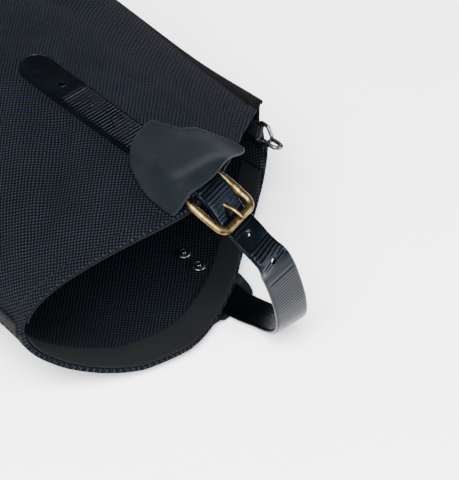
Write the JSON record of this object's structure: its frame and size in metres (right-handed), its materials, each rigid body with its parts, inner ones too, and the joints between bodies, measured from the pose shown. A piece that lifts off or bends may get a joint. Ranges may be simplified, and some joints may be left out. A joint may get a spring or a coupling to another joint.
{
  "type": "hiking gaiter",
  "caption": "Knee-high hiking gaiter in its worn shape: fabric shaft with a front flap, an instep strap with a prong buckle, a top cuff with a cam buckle, and a lace hook.",
  "frame": {"origin": "under the middle of the gaiter's bounding box, on the surface that it lies on", "axes": "+X to the boot's toe, +Y up the leg, +Z to the outer side of the leg, where the buckle is"},
  "size_m": [0.192, 0.4278, 0.1183],
  "materials": {
    "oxford_fabric": "heavy matt plain weave",
    "coated_fabric": "smooth rubbery coating",
    "hook_and_loop": "dense pile",
    "strap_plastic": "satin moulded elastomer",
    "webbing": "ribbed narrow weave",
    "antique_brass": "satin antique plating",
    "steel_trim": "satin",
    "moulded_plastic": "fine texture"
  },
  "bodies": {
    "shaft": {"lateral_panel": "oxford_fabric", "medial_panel": "oxford_fabric", "underlap": "oxford_fabric", "back_seam_tape": "hook_and_loop", "loop_tape": "hook_and_loop", "hem_facing_lateral": "webbing", "hem_facing_medial": "webbing", "ankle_elastic": "webbing", "top_cuff": "webbing", "cam_buckle_anchor": "webbing", "calf_webbing": "webbing", "buckle_keeper": "webbing", "lace_hook_tab": "webbing", "buckle_patch": "coated_fabric", "inner_patch": "coated_fabric", "instep_strap": "strap_plastic", "snap_stud": "steel_trim", "snap_stud_back": "steel_trim", "cam_buckle_pin": "steel_trim", "strap_rivet_1": "steel_trim", "strap_rivet_2": "steel_trim", "rivet_washer_1": "steel_trim", "rivet_washer_2": "steel_trim", "cam_buckle_body": "moulded_plastic"},
    "flap": {"front_flap": "oxford_fabric", "hook_tape": "hook_and_loop", "snap_cap": "steel_trim", "snap_socket": "steel_trim"},
    "buckle": {"buckle_frame": "antique_brass"},
    "tongue": {"buckle_tongue": "antique_brass"},
    "cam_lever": {"cam_buckle_lever": "moulded_plastic"},
    "lace_hook": {"lace_hook": "steel_trim"}
  },
  "joints": [
    {"name": "flap_hinge", "type": "hinge", "parent": "shaft", "child": "flap", "pos_m": [0.04008, -0.15411, 0.09526], "axis": [0.0143, -0.9997, -0.0194], "range_deg": [0, 100]},
    {"name": "buckle_swivel", "type": "hinge", "parent": "shaft", "child": "buckle", "pos_m": [-0.00021, -0.17208, 0.10444], "axis": [-0.9578, -0.2874, 0], "range_deg": [0, 20], "deforming": ["instep_strap"]},
    {"name": "tongue_pivot", "type": "hinge", "parent": "buckle", "child": "tongue", "pos_m": [-0.00021, -0.17208, 0.10444], "axis": [-0.9578, -0.2874, 0], "range_deg": [0, 12], "deforming": ["instep_strap"]},
    {"name": "cam_lever_pivot", "type": "hinge", "parent": "shaft", "child": "cam_lever", "pos_m": [-0.03972, 0.20044, 0.1076], "axis": [-0.0022, -1, 0.0046], "range_deg": [0, 80]},
    {"name": "lace_hook_swivel", "type": "hinge", "parent": "shaft", "child": "lace_hook", "pos_m": [0.08923, -0.11128, 0.04623], "axis": [-0.2377, 0, -0.9713], "range_deg": [-15, 30]}
  ]
}
